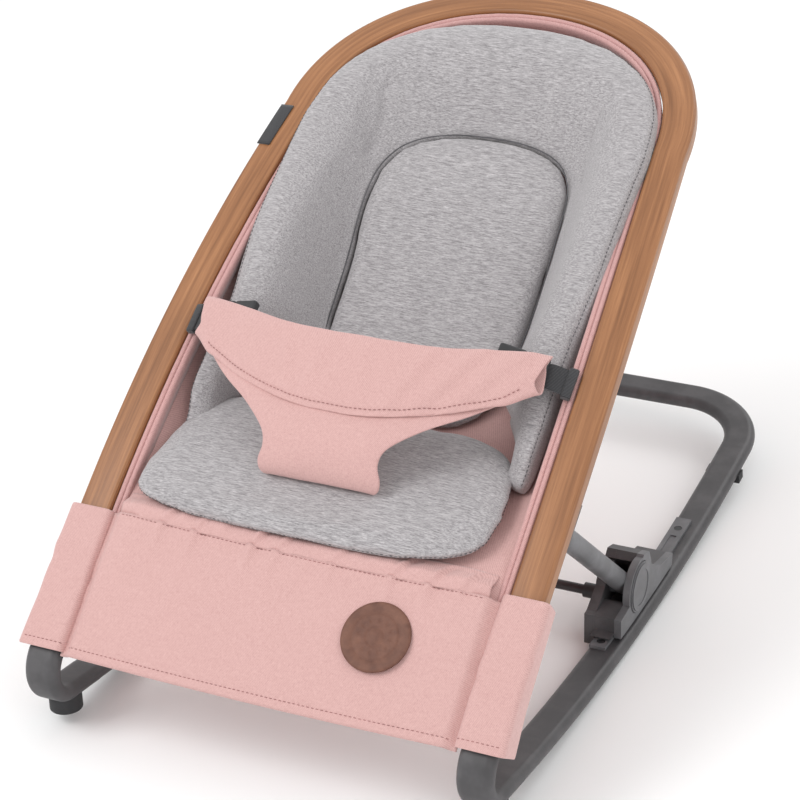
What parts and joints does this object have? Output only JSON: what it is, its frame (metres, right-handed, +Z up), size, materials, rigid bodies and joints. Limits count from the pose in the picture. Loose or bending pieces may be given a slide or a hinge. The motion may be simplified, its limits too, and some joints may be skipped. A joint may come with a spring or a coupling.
{
  "type": "baby bouncer seat",
  "caption": "Baby bouncer with a bent-wood hoop, padded fabric seat and waist harness on a rocking tube base, with a reclining strut linkage.",
  "frame": {"origin": "on the floor, midway across the seat and midway between the base's front and rear ends", "axes": "+Z up, -Y towards the front of the seat where the child's feet are, +X to the seat's left-hand side seen from the child"},
  "size_m": [0.442, 0.7532, 0.4867],
  "materials": {
    "tube": "satin",
    "plastic_dark": "matte",
    "plastic_grey": "satin",
    "rubber": "matte",
    "steel": "satin",
    "rod": "satin",
    "wood": "satin",
    "pink_fabric": "matte",
    "grey_fabric": "matte",
    "webbing": "matte",
    "plastic_black": "satin",
    "leather": "matte"
  },
  "bodies": {
    "base": {"rail_left": "tube", "rail_right": "tube", "rear_bow": "tube", "elbow_left": "plastic_dark", "elbow_right": "plastic_dark", "foot_left": "rubber", "foot_right": "rubber", "rear_bumper_left": "rubber", "rear_bumper_right": "rubber", "guide_left": "plastic_grey", "guide_right": "plastic_grey", "guide_screws": "plastic_black", "fold_axle": "steel", "axle_caps": "plastic_black"},
    "seat": {"hoop": "wood", "hoop_end_left": "plastic_dark", "hoop_end_right": "plastic_dark", "bracket_left": "plastic_dark", "bracket_right": "plastic_dark", "bracket_screws": "steel", "bracket_pin_left": "steel", "bracket_pin_right": "steel", "sling": "pink_fabric", "piping": "pink_fabric", "front_panel": "pink_fabric", "sleeve_left": "pink_fabric", "sleeve_right": "pink_fabric", "leather_patch": "leather", "side_tag": "webbing", "back_cushion": "grey_fabric", "body_insert": "grey_fabric", "seat_cushion": "grey_fabric", "waist_band": "pink_fabric", "crotch_piece": "pink_fabric", "strap_left": "webbing", "strap_right": "webbing", "strap_anchor_left": "plastic_black", "strap_anchor_right": "plastic_black", "buckle_socket_left": "plastic_black", "buckle_socket_right": "plastic_black"},
    "strut": {"strut_left": "plastic_grey", "strut_right": "plastic_grey"},
    "carriage": {"carriage_plate_left": "plastic_dark", "carriage_plate_right": "plastic_dark", "carriage_left": "plastic_dark", "carriage_right": "plastic_dark", "carriage_cover_left": "plastic_grey", "carriage_cover_right": "plastic_grey", "carriage_pin_left": "steel", "carriage_pin_right": "steel", "link_rod": "rod", "rod_collars": "plastic_black", "button_spring_left": "steel", "button_spring_right": "steel"},
    "plug_left": {"buckle_plug_left": "plastic_black"},
    "plug_right": {"buckle_plug_right": "plastic_black"},
    "button_left": {"release_button_left": "plastic_grey"},
    "button_right": {"release_button_right": "plastic_grey"},
    "pawl_left": {"lock_pawl_left": "steel"},
    "pawl_right": {"lock_pawl_right": "steel"}
  },
  "joints": [
    {"name": "seat_recline", "type": "hinge", "parent": "base", "child": "seat", "pos_m": [0, -0.34378, 0.09562], "axis": [-1, 0, 0], "range_deg": [0, 28]},
    {"name": "strut_swing", "type": "hinge", "parent": "seat", "child": "strut", "pos_m": [0, -0.188, 0.19285], "axis": [1, 0, 0], "range_deg": [0, 54]},
    {"name": "carriage_swing", "type": "hinge", "parent": "strut", "child": "carriage", "pos_m": [0, -0.0187, 0.0448], "axis": [1, 0, 0], "range_deg": [-23.5, 0]},
    {"name": "release_button_left", "type": "slide", "parent": "carriage", "child": "button_left", "axis": [1, 0, 0], "range_m": [0, 0.003], "stiffness_N_per_m": 600, "deforming": ["button_spring_left"]},
    {"name": "lock_pawl_left", "type": "slide", "parent": "carriage", "child": "pawl_left", "axis": [0, -0.0003, 1], "range_m": [0, 0.003]},
    {"name": "buckle_plug_left", "type": "slide", "parent": "seat", "child": "plug_left", "axis": [-0.9532, 0.1656, -0.2531], "range_m": [0, 0.0145]},
    {"name": "release_button_right", "type": "slide", "parent": "carriage", "child": "button_right", "axis": [-1, 0, 0], "range_m": [0, 0.003], "stiffness_N_per_m": 600, "deforming": ["button_spring_right"]},
    {"name": "lock_pawl_right", "type": "slide", "parent": "carriage", "child": "pawl_right", "axis": [0, -0.0003, 1], "range_m": [0, 0.003]},
    {"name": "buckle_plug_right", "type": "slide", "parent": "seat", "child": "plug_right", "axis": [0.9532, 0.1656, -0.2531], "range_m": [0, 0.0145]}
  ],
  "couplings": [
    {"joint": "strut_swing", "follows": "seat_recline", "ratio": 1.9028},
    {"joint": "carriage_swing", "follows": "seat_recline", "ratio": -0.8149},
    {"joint": "lock_pawl_left", "follows": "release_button_left", "ratio": 1},
    {"joint": "lock_pawl_right", "follows": "release_button_right", "ratio": 1}
  ]
}
